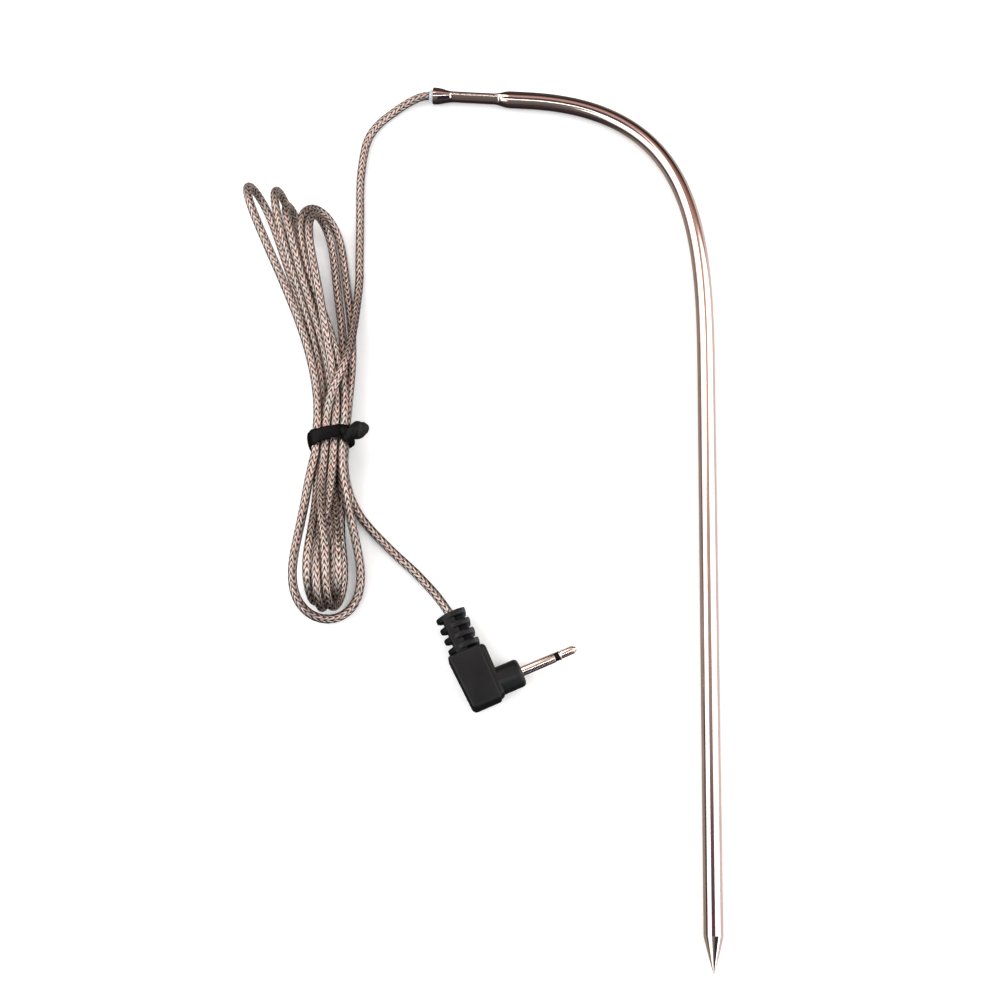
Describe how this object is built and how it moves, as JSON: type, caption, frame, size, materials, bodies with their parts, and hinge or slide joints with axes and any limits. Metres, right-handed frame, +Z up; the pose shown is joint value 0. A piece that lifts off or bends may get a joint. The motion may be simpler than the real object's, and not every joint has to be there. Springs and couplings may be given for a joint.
{
  "type": "meat thermometer probe",
  "caption": "Bent stainless meat thermometer probe with a pointed tip, a crimped mouth, a braided steel cable folded into a tied hank, and a right-angle jack plug.",
  "frame": {"origin": "middle of the probe's bounding box at its base, on the surface that it lies on, leaving out the cable, tie and plug", "axes": "+Z up from the surface; the shaft lies along Y with its point towards -Y and the bend at +Y; the crimped mouth opens towards -X"},
  "size_m": [0.1331, 0.243, 0.017],
  "materials": {
    "steel": "drawn and polished stainless",
    "steel_braid": "fine stainless braid",
    "hank_envelope": "loose bundle of braided cable, mostly air",
    "liner": "smooth silicone",
    "tie_coating": "satin soft plastic",
    "moulded_plastic": "satin moulded",
    "ring_plastic": "smooth",
    "nickel": "polished plating",
    "tinned_wire": "dull tin",
    "wire_sleeving": "smooth",
    "potting": "cast",
    "bead_glass": "fused"
  },
  "bodies": {
    "thermometer": {"sheath_tube": "steel", "point_plug": "steel", "tip_potting": "potting", "thermistor_bead": "bead_glass", "thermistor_leg_a": "tinned_wire", "thermistor_leg_b": "tinned_wire", "splice_crimp_a": "tinned_wire", "splice_crimp_b": "tinned_wire", "splice_sleeve_a": "wire_sleeving", "splice_sleeve_b": "wire_sleeving", "probe_wire_a": "wire_sleeving", "probe_wire_b": "wire_sleeving", "mouth_liner": "liner", "cable_end_in_crimp": "steel_braid", "cable_lead_in": "steel_braid", "cable_hank": "hank_envelope", "cable_lead_out": "steel_braid", "plug_overmould": "moulded_plastic", "plug_premould": "moulded_plastic", "jack_sleeve": "nickel", "jack_insulator": "ring_plastic", "jack_tip": "nickel", "sleeve_lug": "nickel", "tip_lug": "nickel", "solder_joint_a": "tinned_wire", "solder_joint_b": "tinned_wire", "plug_wire_a": "wire_sleeving", "plug_wire_b": "wire_sleeving", "cable_end_in_plug": "steel_braid", "braid_ferrule": "nickel"},
    "tie": {"twist_tie": "tie_coating"}
  },
  "joints": [
    {"name": "tie_slide", "type": "slide", "parent": "thermometer", "child": "tie", "axis": [0, 1, 0], "range_m": [-0.003, 0.003]}
  ]
}
